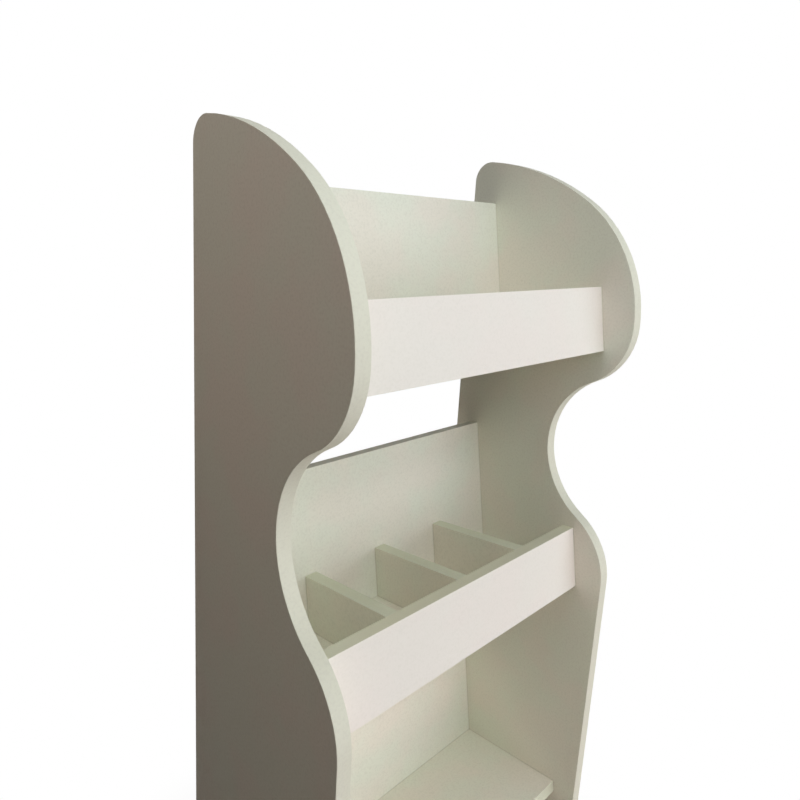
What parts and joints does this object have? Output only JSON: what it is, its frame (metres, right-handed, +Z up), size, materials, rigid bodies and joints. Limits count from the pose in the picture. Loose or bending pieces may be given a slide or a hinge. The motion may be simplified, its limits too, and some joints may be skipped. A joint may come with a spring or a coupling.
{
  "type": "shelf display stand",
  "caption": "Floor-standing display stand of white painted board with wavy side panels, leaning lipped bins, one of them divided, and open sloped shelves below.",
  "frame": {"origin": "centre of the footprint on the floor", "axes": "+Z up, -Y towards the front of the stand, +X to the right seen from the front"},
  "size_m": [0.504, 0.3, 1.4548],
  "materials": {
    "white_paint": "satin white paint",
    "beech": "raw turned beech"
  },
  "bodies": {
    "root": {"left_side_panel": "white_paint", "right_side_panel": "white_paint", "top_bin_back": "white_paint", "top_bin_shelf": "white_paint", "top_bin_lip": "white_paint", "middle_bin_back": "white_paint", "middle_bin_shelf": "white_paint", "middle_bin_lip": "white_paint", "divider_left": "white_paint", "divider_centre": "white_paint", "divider_right": "white_paint", "lower_back": "white_paint", "lower_shelf": "white_paint", "base_back": "white_paint", "base_shelf": "white_paint", "kick_board": "white_paint", "top_bin_dowels": "beech", "middle_bin_dowels": "beech", "lower_dowels": "beech", "base_dowels": "beech", "kick_dowels": "beech"}
  },
  "joints": []
}
